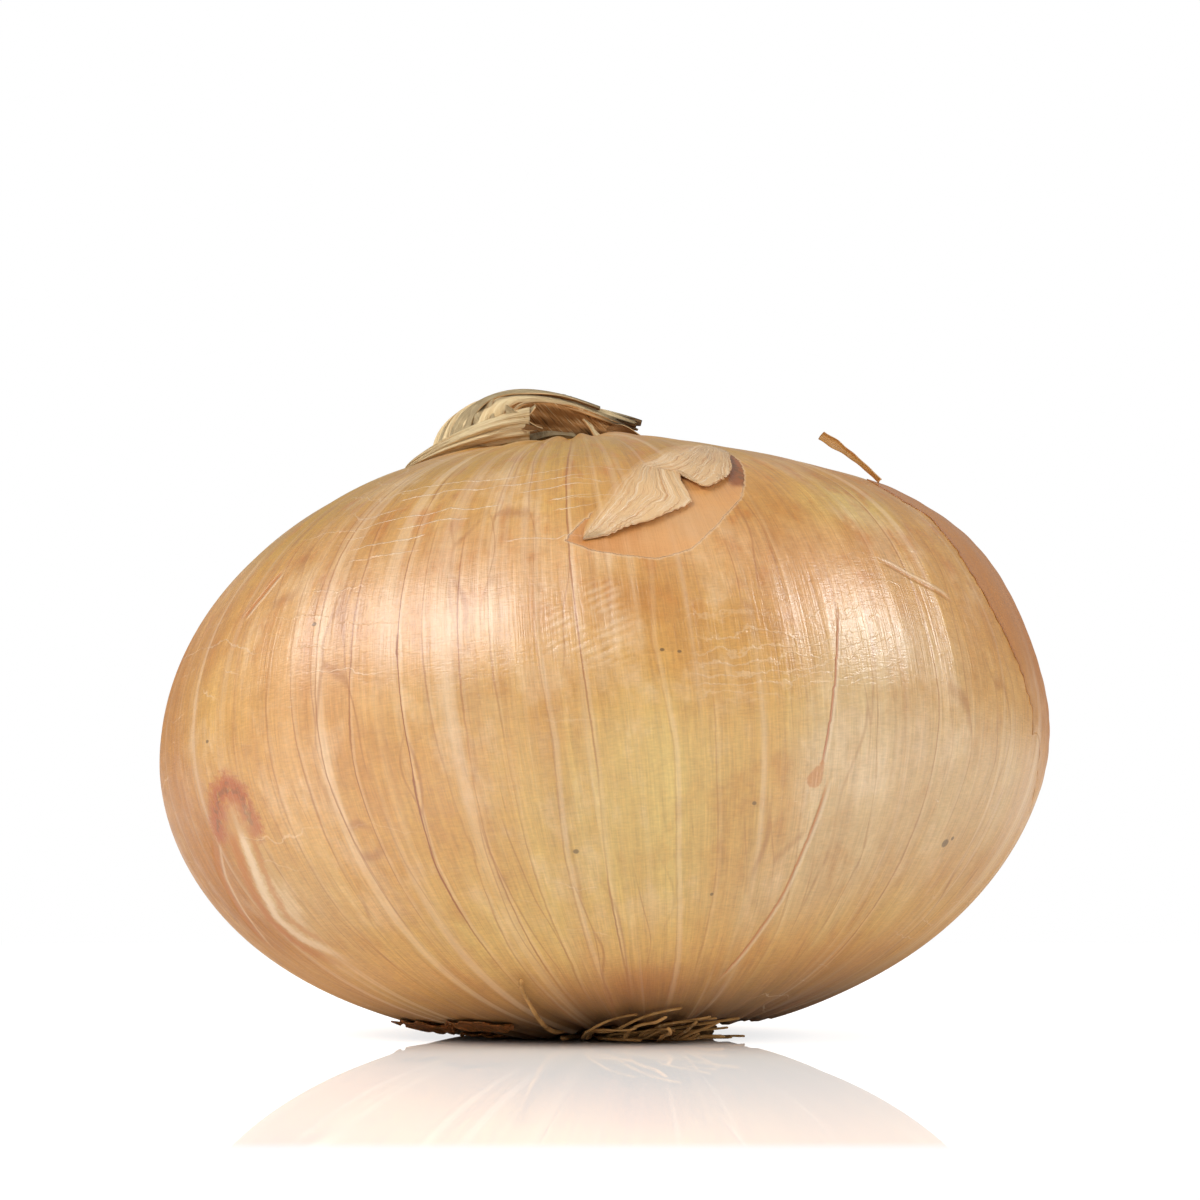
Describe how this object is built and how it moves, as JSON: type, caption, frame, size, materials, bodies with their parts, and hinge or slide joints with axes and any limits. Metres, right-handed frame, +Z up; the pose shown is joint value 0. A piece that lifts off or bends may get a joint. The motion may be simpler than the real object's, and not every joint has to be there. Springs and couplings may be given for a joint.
{
  "type": "onion",
  "caption": "Whole flat-round bulb onion in dry straw-gold skin, lying on its root end, with a bent-over dried neck, a torn skin flap and a fan of dry roots.",
  "frame": {"origin": "on the surface the onion rests on, under the middle of the bulb", "axes": "+Z up from the resting surface, roughly along the onion's own axis from root to neck, which leans 6.5 degrees to -X and 2.5 degrees to +Y; +X to the right and +Y to the back of the side that shows the roots and the torn flap"},
  "size_m": [0.0954, 0.094, 0.07],
  "materials": {
    "bulb_skin": "dry papery onion skin, straw gold with fine reddish-brown veins, satin sheen",
    "cork": "corky dry root plate, dark brown, matt",
    "dry_root": "dry fibrous roots, brown, matt",
    "neck_sheath": "dried pleated leaf sheaths, pale tan, matt",
    "torn_skin": "loose torn outer skin, pale straw, thin and crisp",
    "brown_scrap": "brown dry skin flakes at the foot, matt"
  },
  "bodies": {
    "root": {"bulb": "bulb_skin", "root_plate": "cork", "root_01": "dry_root", "root_02": "dry_root", "root_03": "dry_root", "root_04": "dry_root", "root_05": "dry_root", "root_06": "dry_root", "root_07": "dry_root", "root_08": "dry_root", "root_09": "dry_root", "root_10": "dry_root", "root_11": "dry_root", "root_12": "dry_root", "root_13": "dry_root", "root_14": "dry_root", "root_15": "dry_root", "root_16": "dry_root", "root_17": "dry_root", "root_18": "dry_root", "root_19": "dry_root", "root_20": "dry_root", "root_21": "dry_root", "root_22": "dry_root", "root_23": "dry_root", "root_24": "dry_root", "neck_stump": "neck_sheath", "neck_roof": "neck_sheath", "neck_tail": "neck_sheath", "neck_strip_1": "neck_sheath", "neck_strip_2": "neck_sheath", "skin_flap": "torn_skin", "skin_sliver": "torn_skin", "base_scrap_1": "brown_scrap", "base_scrap_2": "brown_scrap", "base_scrap_3": "brown_scrap"}
  },
  "joints": []
}
